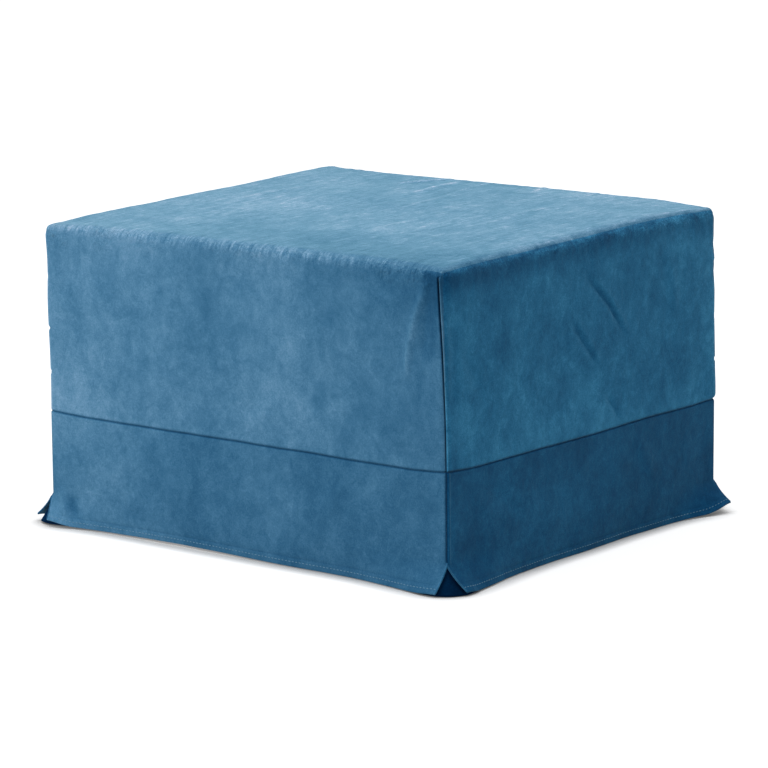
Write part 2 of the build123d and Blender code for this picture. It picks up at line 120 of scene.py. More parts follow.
class Finish:
    def __init__(self, name, **surface):
        self.material = bpy.data.materials.new(name)
        self.material.use_nodes = True
        self.tree = self.material.node_tree
        self.shader = self.tree.nodes["Principled BSDF"]
        for key, value in surface.items():
            self.shader.inputs[key.replace("_", " ")].default_value = value
        self.place = self.node("ShaderNodeTexCoord", "Object")

    def node(self, kind, output=0, settings=None, **sockets):
        node = self.tree.nodes.new(kind)
        for key, value in (settings or {}).items():
            setattr(node, key, value)
        for key, value in sockets.items():
            plug(self.tree, node.inputs[key.replace("_", " ")], value)
        return Wire(self.tree, node.outputs[output])

    def axis(self, letter):
        return self.node("ShaderNodeSeparateXYZ", letter, Vector=self.place)

    def cloud(self, scale, detail=3.0, rough=0.55, twist=0.0, stretch=None):
        # noise; a stretch squeezes it along each axis
        vector = self.product(self.place, stretch) if stretch else self.place
        return self.node("ShaderNodeTexNoise", Vector=vector, Scale=scale, Detail=detail, Roughness=rough,
                         Distortion=twist)

    def mark(self, name):
        # a value painted on the mesh, 0 where a mesh has none
        return self.node("ShaderNodeAttribute", "Fac", {"attribute_name": name})

    def mixed(self, share, first, second):
        node = self.tree.nodes.new("ShaderNodeMix")
        node.data_type = "RGBA"
        for place, value in ((0, share), (6, first), (7, second)):
            plug(self.tree, node.inputs[place], (*value, 1) if isinstance(value, tuple) else value)
        return Wire(self.tree, node.outputs[2])

    def joined(self, x, y, z):
        return self.node("ShaderNodeCombineXYZ", X=x, Y=y, Z=z)

    def product(self, first, second):
        return combined(self.tree, "ShaderNodeVectorMath", "MULTIPLY", first, second)

    def feed(self, name, wire):
        plug(self.tree, self.shader.inputs[name], wire)

    def relief(self, height):
        # height in metres
        self.feed("Normal", self.node("ShaderNodeBump", Height=height, Distance=1.0, Strength=1.0))
        return self.material


# loose microsuede. Its two base colours are painted light: the darker one for the drops drawn in shade, the lighter one
# for the lit drops and the top. The near-black colour of the inset pleats is painted shade of the slits
suede = {"paintedShaded": (0.03, 0.226, 0.46), "warm": (0.162, 0.343, 0.528), "shadedPleat": (0.0005, 0.022, 0.075),
         "fall": (1.12, 0.64, 0.48),  # how fast red, green and blue darken with the painted shade and the nap mottling
         "sheen": 0.72, "sheenRoughness": 0.42, "sheenTint": (0.38, 0.8, 1.0, 1.0),
         "topEdge": (0.438, 0.452), "tufted": (0.47, 0.7),
         "gatherX": 0.95, "gatherY": 1.1, "shadedSpread": 0.75, "spread": 1.15,
         "shares": {"fields": (1.05, 0), "patches": (0.95, 0), "strokes": (1.0, 0), "marks": (0.75, 0.9),
                    "fibres": (1.0, 1.2), "streaks": (0, 2.3)},  # of each layer, everywhere and more on the top
         "relief": {"fibres": 0.00028, "crumple": 0.0011, "across": 0.0042, "along": 0.0045, "streaks": 0.0005}}
suedeNoise = {  # scale, detail, roughness, twist and stretch of each layer
    "fields": (3.4, 2.0, 0.5, 0.3), "patches": (8.5, 4.0, 0.6, 0.35, (1.0, 1.0, 0.9)),
    "strokes": (27.0, 4.0, 0.68, 0.5, (1.0, 1.0, 0.85)), "marks": (75.0, 4.0, 0.72, 0.9, (1.0, 1.0, 0.9)),
    "streaks": (1.0, 4.0, 0.6, 0.6, (220.0, 24.0, 30.0)), "fibres": (480.0, 3.0, 0.7),
    "across": (1.0, 3.0, 0.6, 1.1, (105.0, 30.0, 30.0)), "along": (1.0, 3.0, 0.55, 0.8, (30.0, 120.0, 30.0)),
    "tufted": (23.0, 4.0, 0.7), "crumple": (48.0, 4.0, 0.55, 0.5)}


def suedeFinish(name, shadedPleat=False):
    cloth = Finish(name, Roughness=0.9, Specular_IOR_Level=0.03 if shadedPleat else 0.05,
                   Sheen_Weight=0.02 if shadedPleat else suede["sheen"], Sheen_Roughness=suede["sheenRoughness"],
                   Sheen_Tint=suede["sheenTint"])
    layer = {label: cloth.cloud(*values) for label, values in suedeNoise.items()}

    def swing(label):
        return layer[label] - 0.5

    onTop = cloth.axis("Z").above(*suede["topEdge"])
    tufted = layer["tufted"].above(*suede["tufted"])  # the gathers come and go along the edge
    puckerX, puckerY = cloth.mark("puckerX"), cloth.mark("puckerY")
    # the gathers paint their light and shade into the colour as well as their bumps
    gathers = (swing("across") * puckerX * suede["gatherX"] + swing("along") * puckerY * suede["gatherY"]) * tufted
    light = gathers + sum(swing(label) * (onTop * more + base) for label, (base, more) in suede["shares"].items())
    shadedShare = 1.0 - cloth.mark("warm")
    # the painted shade and light read from the mesh, with the random nap mottling, darken or lighten the colour
    nap = cloth.mark("nap") - light * (shadedShare * shadedShare * suede["shadedSpread"] + suede["spread"])
    tone = cloth.joined(*(nap.powerOf(math.exp(-fall)) for fall in suede["fall"]))
    # painted light: the base colour runs from the shaded colour to the lit colour by how lit the mesh is drawn
    base = suede["shadedPleat"] if shadedPleat else cloth.mixed(cloth.mark("warm"), suede["paintedShaded"], suede["warm"])
    cloth.feed("Base Color", cloth.product(base, tone))
    where = {"across": puckerX * tufted, "along": puckerY * tufted, "streaks": onTop}
    return cloth.relief(sum(layer[label] * where.get(label, 1.0) * deep for label, deep in suede["relief"].items()))


ticking = {"weave": 5200.0, "stripe": 251.3, "group": 62.83, "ground": (0.62, 0.6, 0.55), "line": (0.16, 0.24, 0.34)}


def tickingFinish():
    cloth = Finish("tickingCloth", Roughness=0.85, Specular_IOR_Level=0.2, Sheen_Weight=0.25, Sheen_Roughness=0.5)
    x, y, z = (cloth.axis(letter) for letter in "XYZ")
    rows = [(wire * ticking["weave"]).sine() for wire in (x, y, z)]
    weave = (rows[0] * rows[1] + rows[2]) * 0.25 + 0.5
    groups = (x * ticking["group"]).sine().above(-0.2, 0.1)
    stripe = (x * ticking["stripe"]).sine().above(0.62, 0.8) * (1.0 - groups * 0.75)
    soil = cloth.cloud(6.0, 4.0, 0.6)
    colour = cloth.mixed(stripe * 0.7, ticking["ground"], ticking["line"])
    cloth.feed("Base Color", cloth.product(colour, soil * 0.22 + weave * 0.16 + 0.8))
    return cloth.relief(weave * 0.00022 + cloth.cloud(40.0, 3.0, 0.5) * 0.0012)


def webbingFinish():
    cloth = Finish("strapWebbing", Roughness=0.8, Specular_IOR_Level=0.25, Sheen_Weight=0.2)
    x, y, z = (cloth.axis(letter) for letter in "XYZ")
    rib = ((y + z) * 3100.0).sine() * (x * 2500.0).sine()
    colour = cloth.mixed(rib * 0.5 + 0.5, (0.03, 0.034, 0.04), (0.075, 0.082, 0.092))
    cloth.feed("Base Color", cloth.product(colour, cloth.cloud(30.0, 3.0, 0.5) * 0.5 + 0.75))
    return cloth.relief(rib * 0.0002)


def foamFinish():
    foam = Finish("padFoam", Roughness=0.95, Specular_IOR_Level=0.1)
    cells = foam.node("ShaderNodeTexVoronoi", "Distance", Vector=foam.place, Scale=420.0)
    foam.feed("Base Color", foam.mixed(cells.above(0.1, 0.8), (0.62, 0.55, 0.34), (0.8, 0.74, 0.52)))
    return foam.relief(cells * 0.0008)


# bent birch slats, grain along X
wood = {"grain": (1.0, 6.0, 0.62, 0.4, (7.0, 150.0, 150.0)), "pores": (1.0, 2.0, 0.5, 0.0, (60.0, 1500.0, 1500.0)),
        "tone": (1.0, 2.0, 0.5, 0.0, (0.8, 11.0, 11.0)), "dark": (0.5, 0.33, 0.175), "pale": (0.7, 0.52, 0.31)}


def woodFinish():
    slat = Finish("slatWood", Specular_IOR_Level=0.35, Coat_Weight=0.12, Coat_Roughness=0.35)
    grain, pores, tone = (slat.cloud(*wood[name]) for name in ("grain", "pores", "tone"))
    pores = pores.above(0.6, 0.72)
    colour = slat.mixed(grain.above(0.32, 0.68), wood["dark"], wood["pale"])
    slat.feed("Base Color", slat.product(colour, tone * 0.5 + 0.72 - pores * 0.22))
    slat.feed("Roughness", grain * 0.2 + 0.42)
    return slat.relief(grain * 0.0002 - pores * 0.00012)


# finishes where one noise mixes two greys, turns the roughness and, if there is no grain, raises the surface
plain = {
    "framePaint": {"surface": {"Specular_IOR_Level": 0.45}, "wear": (14.0, 5.0, 0.65), "worn": (0.56, 0.74),
                   "colours": ((0.052, 0.055, 0.06), (0.088, 0.092, 0.098)), "rough": (0.16, 0.36),
                   "grain": (900.0, 2.0, 0.5), "deep": 0.00007},
    "plateSteel": {"surface": {"Metallic": 0.75, "Specular_IOR_Level": 0.5}, "wear": (38.0, 5.0, 0.66),
                   "worn": (0.48, 0.7), "colours": ((0.11, 0.115, 0.12), (0.3, 0.31, 0.32)),
                   "rough": (-0.14, 0.46), "grain": (700.0, 2.0, 0.5), "deep": 0.00006},
    "pinSteel": {"surface": {"Metallic": 1.0}, "wear": (1.0, 3.0, 0.5, 0.0, (3000.0, 160.0, 160.0)),
                 "colours": ((0.5, 0.51, 0.53), (0.74, 0.75, 0.76)), "rough": (0.18, 0.22), "deep": 0.00004},
    "blackPlastic": {"surface": {"Specular_IOR_Level": 0.4}, "wear": (420.0, 3.0, 0.6),
                     "colours": ((0.012, 0.012, 0.013), (0.03, 0.03, 0.032)), "rough": (0.2, 0.45), "deep": 0.0001},
    "bumperRubber": {"surface": {"Specular_IOR_Level": 0.2}, "wear": (90.0, 4.0, 0.6), "worn": (0.45, 0.75),
                     "colours": ((0.016, 0.016, 0.016), (0.05, 0.048, 0.046)), "rough": (0.15, 0.75), "deep": 0.0001},
    "hemThread": {"surface": {"Roughness": 0.6, "Specular_IOR_Level": 0.25, "Sheen_Weight": 0.2},
                  "wear": (1500.0, 2.0, 0.5), "colours": ((0.13, 0.34, 0.5), (0.24, 0.47, 0.64)), "deep": 0.0001}}


def plainFinish(name):
    look = plain[name]
    finish = Finish(name, **look["surface"])
    wear = finish.cloud(*look["wear"])
    if "worn" in look:
        wear = wear.above(*look["worn"])
    finish.feed("Base Color", finish.mixed(wear, *look["colours"]))
    if "rough" in look:
        gain, base = look["rough"]
        finish.feed("Roughness", wear * gain + base)
    return finish.relief((finish.cloud(*look["grain"]) if "grain" in look else wear) * look["deep"])


coverCloth = suedeFinish("coverSuede")
# the pleats' near-black colour is painted shade of the slits they close
pleatCloth = suedeFinish("pleatSuede", shadedPleat=True)
tickingCloth, strapWebbing, padFoam, slatWood = tickingFinish(), webbingFinish(), foamFinish(), woodFinish()
framePaint, plateSteel, pinSteel, blackPlastic, bumperRubber, hemThread = (plainFinish(name) for name in plain)

finishOf = {"slats": slatWood, "slat_caps": blackPlastic, "plugs": blackPlastic, "glides": blackPlastic,
            "bushes": blackPlastic, "plates": plateSteel, "ears": plateSteel, "pins": pinSteel,
            "bumpers": bumperRubber, "core": padFoam, "ticking": tickingCloth, "straps": strapWebbing}
for name, node in cadNodes.items():
    chosen = next((finish for ending, finish in finishOf.items() if name.endswith(ending)), framePaint)
    node.data.materials.clear()
    node.data.materials.append(chosen)
print("finishes made,", len(bpy.data.materials), "materials")


def painted(mesh, **marks):
    # float values on each point of a mesh, which its finish reads
    for label, values in marks.items():
        mark = mesh.attributes.new(label, "FLOAT", "POINT")
        mark.data.foreach_set("value", np.zeros(len(mesh.vertices), np.float32) + np.asarray(values, np.float32))


def inScene(name, mesh):
    piece = bpy.data.objects.new(name, mesh)
    bpy.context.scene.collection.objects.link(piece)
    return piece


def dressed(mesh, finish):
    mesh.materials.clear()
    mesh.materials.append(finish)
    mesh.polygons.foreach_set("use_smooth", [True] * len(mesh.polygons))


def meshPiece(name, points, faces, finish, **marks):
    mesh = bpy.data.meshes.new(name)
    mesh.from_pydata([tuple(p) for p in points], [], [tuple(int(i) for i in face) for face in faces])
    mesh.update()
    painted(mesh, **marks)
    dressed(mesh, finish)
    return inScene(name, mesh)


def applied(piece):
    # the piece's modifiers become its mesh
    graph = bpy.context.evaluated_depsgraph_get()
    mesh = bpy.data.meshes.new_from_object(piece.evaluated_get(graph))
    piece.modifiers.clear()
    old, piece.data = piece.data, mesh
    bpy.data.meshes.remove(old)
    mesh.name = piece.name
    return piece


def thickened(piece, thickness):
    wall = piece.modifiers.new("cloth", "SOLIDIFY")
    wall.thickness, wall.offset = thickness, -1
    return applied(piece)


def stripFaces(columns, rows):
    # quads of a grid whose points run along a row first, then to the next row
    starts = [j * columns + i for j in range(rows - 1) for i in range(columns - 1)]
    return [(k, k + 1, k + columns + 1, k + columns) for k in starts]


def ringFaces(upper, lower):
    # quads between two closed rows of points
    return list(zip(upper, lower, np.roll(lower, -1), np.roll(upper, -1)))


def foldLine(u, v, points, width, height, fade=0.3):
    # height of a fold that runs through the points, tapering at both ends
    best, depth = np.full(len(u), 9.0), np.zeros(len(u))
    stops = np.array(points, float)
    lengths = np.hypot(*(stops[1:] - stops[:-1]).T)
    total, gone = lengths.sum(), 0.0
    for a, b, length in zip(stops[:-1], stops[1:], lengths):
        t = np.clip(((u - a[0]) * (b[0] - a[0]) + (v - a[1]) * (b[1] - a[1])) / length**2, 0, 1)
        far = np.hypot(u - a[0] - t * (b[0] - a[0]), v - a[1] - t * (b[1] - a[1]))
        share = (gone + t * length) / total
        taper = ease(share, 0, fade) * (1 - ease(share, 1 - fade, 1))
        near = far < best
        best, depth = np.where(near, far, best), np.where(near, height * taper * hump(far, width), depth)
        gone += length
    return depth


def folded(u, v, folds, wider=1.0, deeper=1.0):
    return sum(foldLine(u, v, line, width * wider, depth * deeper, fade) for line, width, depth, fade in folds)


# the body of the slipcover: a top and four drops in one cloth, over the folded pads
low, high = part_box("cover_body")
halfX, halfY, topZ, seamZ = high.x, high.y, high.z - 0.0015, low.z
cover = {"edge": 0.019, "corner": 0.01, "lean": -0.0035,
         "tighter": 0.48, "tighterFrontRight": 0.2, "cornerReach": 0.075,  # the top edge is sharper at its corners
         "narrowing": (0.022, 0.085),  # below the top, from the edge's roundness to the corner's
         "crown": 0.002, "puffBack": 0.0062, "puffRight": 0.0026, "flatFront": 0.0016, "swells": (0.0024, 0.001),
         "sag": 0.006, "sagShares": ((0.9, 0.7), (0.15, 1.0)),  # left and right, at the front and the back
         "groove": 0.0036, "grooveWidth": 0.00125, "welt": 0.0018, "roll": 0.0021, "rollWidth": 0.0017,
         "notches": (0.374, 0.297, 0.232), "notchHeight": 0.0016, "notchDepth": 0.001, "weltWidth": 0.0013,
         "seamTop": (0.443, 0.4505),  # the corner seams fade out here
         "gatherX": 0.0011, "gatherY": 0.0005,
         "overFront": (0.01, 0.013, 0.418, 0.442), "overSide": (0.006, 0.02, 0.395, 0.436),  # inset, width, heights
         "creaseShade": (0.8, -95), "topDeeper": 1.5, "topShade": (0.8, -430), "creaseWidth": 0.006, "step": 0.0047,
         "near": (0, .0007, .0014, .0022, .0031, .0042, .0056, .0074, .0096, .0124, .016, .0205, .026, .032),
         "upper": (.0016, .0034, .0054, .0076, .01, .0128, .0158, .019, .0225, .0265, .031)}
# painted shade in the seam groove, on the rolled seam, in the hollow by the crease, in creases and right of the corner
# seam; painted highlights on the welt and on fold crests of the drops and the top
coverPaintedShade = {"groove": 3.4, "roll": 1.7, "dartShade": 0.75, "crease": 1.5, "welt": -0.85, "shadeRightOfSeam": 0.45}
nearSeam = (.0072, .0052, .0037, .0026, .0017, .0009, 0)  # rows of points, as distances from the seam
sides = ("front", "right", "back", "left")
warmth = {"front": 0.47, "right": 0.0, "back": 0.15, "left": 0.42}  # painted light: how lit each side is drawn
seamLift = ((.371, -.332, .0042), (-.371, -.332, .0022), (.371, .332, .0015), (-.371, .332, .002))
scallop = ((.17, .176, .2, .24, .3, .335, .355, .362, .38, .395, .402, .415, .44, .46),  # of the back right corner
           (0, .0026, .003, .002, .0012, .0002, -.0016, -.0022, -.0008, -.0016, -.0024, -.001, 0, 0))


def spacing(half):
    near = np.array(cover["near"])
    count = round((half - near[-1]) * 2 / cover["step"])
    middle = np.linspace(near[-1] - half, half - near[-1], count + 1)
    return np.concatenate([near[:-1] - half, middle, (half - near[:-1])[::-1]])


def seamShift(z):
    # how far the front right corner seam is pulled into the front face
    return np.interp(z, (0.17, 0.245, 0.34, 0.437, 0.447, 0.458), (0, 0.001, 0.0045, 0.01, 0.0105, 0))


def seamWander(z):
    return np.interp(z, (0.17, 0.23, 0.3, 0.38, 0.44, 0.458), (0, 0.0008, -0.001, 0.0012, 0.0004, 0))


def softBox(x, y, z):
    # a point of the sharp box, rounded at the corners and the top edge, with the way out there
    outer = np.hypot(np.abs(x) - halfX, np.abs(y) - halfY)
    tighter = np.where((x > 0) & (y < 0), cover["tighterFrontRight"], cover["tighter"])
    edge = cover["edge"] * (1 - tighter * hump(outer, cover["cornerReach"]))
    start, stop = cover["narrowing"]
    radius = edge + (cover["corner"] - edge) * ease(-z, -(topZ - start), -(topZ - stop))
    inX = np.clip(x, radius - halfX, halfX - radius)
    inY = np.clip(y, radius - halfY, halfY - radius)
    inZ = np.minimum(z, topZ - radius)
    out = np.stack([x - inX, y - inY, z - inZ], 1)
    out /= np.linalg.norm(out, axis=1)[:, None]
    return np.stack([inX, inY, inZ], 1) + out * radius[:, None], out


def seamWave(points):
    # the seam is sewn by eye, and rides up at the corners
    atCorner = sum(hump(np.hypot(points[:, 0] - x, points[:, 1] - y), 0.042) * lift for x, y, lift in seamLift)
    flat = np.stack([points[:, 0], points[:, 1], points[:, 0] * 0], 1)
    return ripple(flat, 0.11, 9.3) * 0.0016 + ripple(flat, 0.035, 2.3) * 0.0005 + atCorner


# folds: points along the face and up, in metres, then the width and height of the fold and its taper
faceFolds = {
    "front": [([(.3475, .446), (.336, .42), (.3251, .3955), (.3128, .3564), (.306, .325), (.302, .295)],
               .004, .0036, .12),
              ([(.352, .435), (.343, .4), (.337, .36), (.334, .32)], .0085, -.0038, .3),
              ([(-.356, .44), (-.35, .4), (-.347, .35)], .006, .0016, .4),
              ([(-.1, .44), (-.115, .4), (-.12, .35)], .012, .0012, .4),
              ([(.05, .26), (.02, .225), (.0, .195)], .016, -.0012, .4)],
    "right": [([(-.012, .412), (.0016, .3973), (.0555, .3532), (.1061, .2925)], .0036, -.003, .35),
              ([(.004, .4023), (.0616, .3582), (.1121, .2975)], .0046, .0014, .35),
              ([(-.0413, .3467), (-.0017, .3028), (.0349, .2619)], .0042, -.0024, .35),
              ([(-.0343, .3507), (.0053, .3068), (.0419, .2659)], .0055, .0012, .35),
              ([(.0462, .2246), (.0845, .1796)], .0036, -.0022, .3),
              ([(-.3, .36), (-.27, .3), (-.235, .25)], .011, -.0014, .4),
              ([(.2, .42), (.22, .36), (.225, .3)], .01, .0014, .4),
              ([(-.322, .43), (-.312, .34), (-.318, .24)], .012, -.0018, .3)],
    "back": [([(-.05, .43), (-.12, .36), (-.16, .27)], .0046, -.0024, .35),
             ([(.18, .44), (.13, .38), (.11, .31)], .007, .0018, .35),
             ([(.28, .4), (.3, .33), (.29, .25)], .011, -.0014, .4),
             ([(-.345, .44), (-.32, .39), (-.31, .34)], .0034, .0024, .2)],
    "left": [([(.02, .44), (.06, .38), (.11, .3)], .005, -.0022, .35),
             ([(-.16, .4), (-.19, .33), (-.2, .26)], .009, .0016, .4),
             ([(-.3, .44), (-.285, .4), (-.28, .35)], .0034, .0022, .2),
             ([(.24, .3), (.2, .24), (.17, .2)], .006, -.0016, .35)]}
topFolds = [  # across and along the top
    ([(-.158, .205), (-.132, .27), (-.106, .325)], .0036, .0014, .3),
    ([(-.146, .215), (-.12, .28), (-.096, .325)], .0044, -.0008, .3),
    ([(-.06, .11), (-.072, .23), (-.084, .33)], .0036, .0014, .3),
    ([(-.048, .15), (-.06, .25), (-.07, .33)], .0046, -.0008, .3),
    ([(.096, .235), (.078, .29), (.064, .33)], .0036, .0013, .3),
    ([(-.01, .19), (-.022, .26), (-.03, .325)], .0036, .001, .3),
    ([(.15, .22), (.17, .29), (.165, .345)], .003, .0008, .3),
    ([(.01, .02), (.004, .12), (-.01, .22)], .0045, .0008, .4),
    ([(.21, -.04), (.19, .1), (.2, .22)], .006, .0007, .4),
    ([(-.25, -.1), (-.262, .05), (-.24, .2)], .007, .0007, .4),
    ([(.11, -.18), (.092, -.06), (.1, .06)], .0055, .0007, .4)]
dartShadeLine = ([(.356, .44), (.348, .4), (.343, .355), (.341, .31)], .0095, 1.0, .25)  # painted shade in the hollow by the crease


def coverGrid():
    # the sharp box as points and faces, with each point's side and its distance from the nearest corner seam
    xs, ys = spacing(halfX), spacing(halfY)
    drop = topZ - seamZ
    middle = np.linspace(.036, drop - .01, round((drop - .046) / cover["step"]) + 1)
    rows = np.concatenate([cover["upper"], middle, drop - np.array(nearSeam)])
    nx, ny = len(xs), len(ys)
    count = nx * ny
    topX, topY = (a.ravel() for a in np.meshgrid(xs, ys, indexing="ij"))
    index = np.arange(count).reshape(nx, ny)
    rim = np.concatenate([index[:-1, 0], index[-1, :-1], index[:0:-1, -1], index[0, :0:-1]])
    width, depth = 2 * halfX, 2 * halfY
    along = np.concatenate([xs[:-1] - xs[0], width + ys[:-1] - ys[0], width + depth + (xs[-1] - xs[:0:-1]),
                            2 * width + depth + (ys[-1] - ys[:0:-1])])
    corners = np.array([0, width, width + depth, 2 * width + depth])
    around = 2 * (width + depth)
    s = np.tile(along, len(rows))
    z = np.repeat(topZ - rows, len(along))
    offset = np.array([(s - c + around / 2) % around - around / 2 for c in corners])
    nearest = np.abs(offset).argmin(0)
    fromCorner = offset[nearest, np.arange(len(s))]
    shift = np.where(nearest == 1, seamShift(z), seamWander(z) * np.where(nearest == 0, -2.0, 1.5))
    s = (s - shift * hump(fromCorner, 0.045)) % around
    face = np.searchsorted(np.cumsum([width, depth, width]), s, side="right")
    u = s - corners[face]
    still = np.zeros(len(u))
    sideX = np.choose(face, [u - width / 2, still + width / 2, width / 2 - u, still - width / 2])
    sideY = np.choose(face, [still - depth / 2, u - depth / 2, still + depth / 2, depth / 2 - u])
    rims = [rim] + [count + np.arange(len(along)) + j * len(along) for j in range(len(rows))]
    faces = [(index[i, j], index[i + 1, j], index[i + 1, j + 1], index[i, j + 1])
             for i in range(nx - 1) for j in range(ny - 1)]
    for upper, lower in zip(rims[:-1], rims[1:]):
        faces += ringFaces(upper, lower)
    return (np.concatenate([topX, sideX]), np.concatenate([topY, sideY]),
            np.concatenate([np.full(count, topZ), z]), np.concatenate([np.full(count, -1), face]),
            np.concatenate([np.full(count, 9.0), fromCorner]), faces)


def alongEdge(gap, height, inset, wide, lower, upper):
    # 1 at a top edge, fading inward over its width and down between two heights
    return hump(np.maximum(gap - inset, 0), wide) * ease(height, lower, upper)


def coverBody():
    x, y, height, which, seamGap, faces = coverGrid()
    points, out = softBox(x, y, height)
    onTop = np.clip(out[:, 2], 0, 1)
    onSide = 1 - onTop
    onRight = x > 0.9 * halfX

    # crown of the pad, sag at the outer corners, and the cover pulled slightly to one side
    crown = (1 - np.abs(x / halfX) ** 3) * (1 - np.abs(y / halfY) ** 3)
    corner = np.hypot(np.abs(x) - halfX, np.abs(y) - halfY)
    puff = cover["puffBack"] * ease(y, -0.25, 0.25) + cover["puffRight"] * ease(x, -0.3, 0.3) - cover["flatFront"]
    sagShare = np.array(cover["sagShares"])[(y >= 0).astype(int), (x >= 0).astype(int)]
    rise = cover["crown"] * crown * onTop + puff * ease(height, 0.3, 0.45)
    rise -= ease(height, 0.36, 0.44) * hump(corner, 0.075) * sagShare * cover["sag"]

    # swells of the loose cloth, folds, corner seams
    large, small = cover["swells"]
    swell = ripple(points, 0.16, 3.1) * large + ripple(points, 0.075, 7.7) * small
    push = swell * (onSide * ease(height, seamZ, seamZ + 0.06) + onTop * 0.75)
    foldShade = np.zeros(len(x))  # painted highlights on crests and painted shade in creases
    for number, name in enumerate(sides):
        side = which == number
        place = points[side, number % 2]
        narrow = [fold for fold in faceFolds[name] if fold[1] < cover["creaseWidth"]]
        push[side] += folded(place, height[side], faceFolds[name])
        foldShade[side] += folded(place, height[side], narrow, *cover["creaseShade"])
    flat = which == -1
    push[flat] += folded(x[flat], y[flat], topFolds, 1.0, cover["topDeeper"])
    foldShade[flat] += folded(x[flat], y[flat], topFolds, *cover["topShade"])
    start = 1 - ease(height, *cover["seamTop"])
    notch = sum(hump(height - level, cover["notchHeight"]) for level in cover["notches"])
    groove = hump(seamGap, cover["grooveWidth"]) * start
    welt = hump(seamGap - 0.0031, cover["weltWidth"]) * start * (1 - 0.8 * notch)
    push += welt * cover["welt"] - groove * cover["groove"]
    push -= notch * hump(seamGap - 0.004, 0.003) * cover["notchDepth"]
    push += np.interp(height, *scallop) * hump(seamGap, 0.03) * ((x > 0) & (y > 0)) * onSide
    rolled = hump(height - seamZ, cover["rollWidth"]) * onSide
    push -= rolled * cover["roll"]
    overY = alongEdge(halfY - np.abs(points[:, 1]), height, *cover["overFront"])
    overX = alongEdge(halfX - np.abs(points[:, 0]), height, *cover["overSide"])
    strongLeft = 0.42 + 0.75 * hump(x + 0.34, 0.1) + 0.3 * hump(x - 0.3, 0.12)
    gatherX = ripple(np.stack([x, y * 0.15, height * 0.15], 1), 0.013, 1.7)
    gatherY = ripple(np.stack([x * 0.15, y, height * 0.15], 1), 0.015, 4.2)
    push += gatherX * overY * strongLeft * cover["gatherX"] + gatherY * overX * cover["gatherY"]
    points = points + out * push[:, None]
    points[:, 2] += rise
    points[:, 2] += seamWave(points) * (1 - ease(height - seamZ, 0.004, 0.05)) * onSide
    points[:, 0] += cover["lean"] * ease(height, seamZ, topZ)

    # painted light and shade: darker and lighter across each drop, a dark band under the right top edge, the top darker
    # toward the front, and painted shade at seams and creases
    dartShade = np.zeros(len(x))
    side = which == 0
    dartShade[side] = foldLine(points[side, 0], height[side], *dartShadeLine)
    shadeRightOfSeam = hump(seamGap - 0.018, 0.015) * (which == 1) * start * ease(-height, -0.4, -0.3)
    blend = np.where(onRight, ease(onTop, 0.72, 0.97), onTop)
    inFront = np.maximum(which, 0)
    # painted light: the top and the lit drops take the lit colour, the right drop the shaded colour
    warm = np.where(which >= 0, np.array([warmth[name] for name in sides])[inFront], 1.0) * (1 - blend) + blend
    sideShade = np.choose(inFront, [-0.12 + 1.05 * x + x * x, -0.17 - 0.35 * y, 0.12, 0.08])
    shadeUnderEdge = hump(height - 0.442, 0.022) * (0.85 - 0.2 * y) * onRight
    topShadeToFront = -0.15 + 0.55 * ease(-y, 0.1, 0.32) * ease(x, -0.36, 0.0)
    nap = np.where(which >= 0, sideShade, 0) * (1 - blend) + topShadeToFront * blend + shadeUnderEdge * (1 - blend)
    shadeRightOfSeam = shadeRightOfSeam * ((x > 0) & (y < 0))
    # painted shade and highlights at the seams, the crease hollow and the folds
    for label, mark in (("groove", groove), ("roll", rolled), ("dartShade", dartShade), ("crease", foldShade), ("welt", welt),
                        ("shadeRightOfSeam", shadeRightOfSeam)):
        nap += mark * coverPaintedShade[label]
    return meshPiece("coverBody", points, faces, coverCloth, nap=nap, warm=warm, puckerX=overY * strongLeft,
                     puckerY=overX * np.where(x < 0, 0.4, 0.12))


body = coverBody()
print("cover body made,", len(body.data.polygons), "faces")

# four skirt panels, sewn to the body at the seam and to each other down to the slit
skirt = {"slit": 0.045, "hem": 0.0008, "cloth": 0.0018, "roll": 0.0026, "turn": 0.0055,
         "hemTurn": 0.0135, "swells": (0.0022, 0.001), "wave": 0.0012, "seamRoll": 0.0021, "edgeWelt": 0.0012,
         "frontRise": 0.003,
         "nearHem": (0, .001, .0024, .0042, .0062, .0085, .0105, .0118, .0128, .014, .0155, .018, .022, .026, .03)}
slitZ, hemZ = skirt["slit"], skirt["hem"]
# along each side, out of it, half its length and how far out it stands
axes = {side: (np.array(way, float), np.cross(way, (0, 0, 1)).astype(float), half, face)
        for side, way, half, face in (("front", (1, 0, 0), halfX, halfY), ("right", (0, 1, 0), halfY, halfX),
                                      ("back", (-1, 0, 0), halfX, halfY), ("left", (0, -1, 0), halfY, halfX))}
ends = {  # flare out, pull back, lift and reach of the free corner, at the start and the end of each panel
    "front": ((.0185, .006, .0085, .13), (.0185, .0075, .004, .19)),
    "right": ((.024, .015, .0055, .26), (.03, .002, .015, .13)),
    "back": ((.026, .004, .004, .15), (.022, .003, .004, .13)),
    "left": ((.023, .006, .004, .14), (.03, .0, .01, .13))}
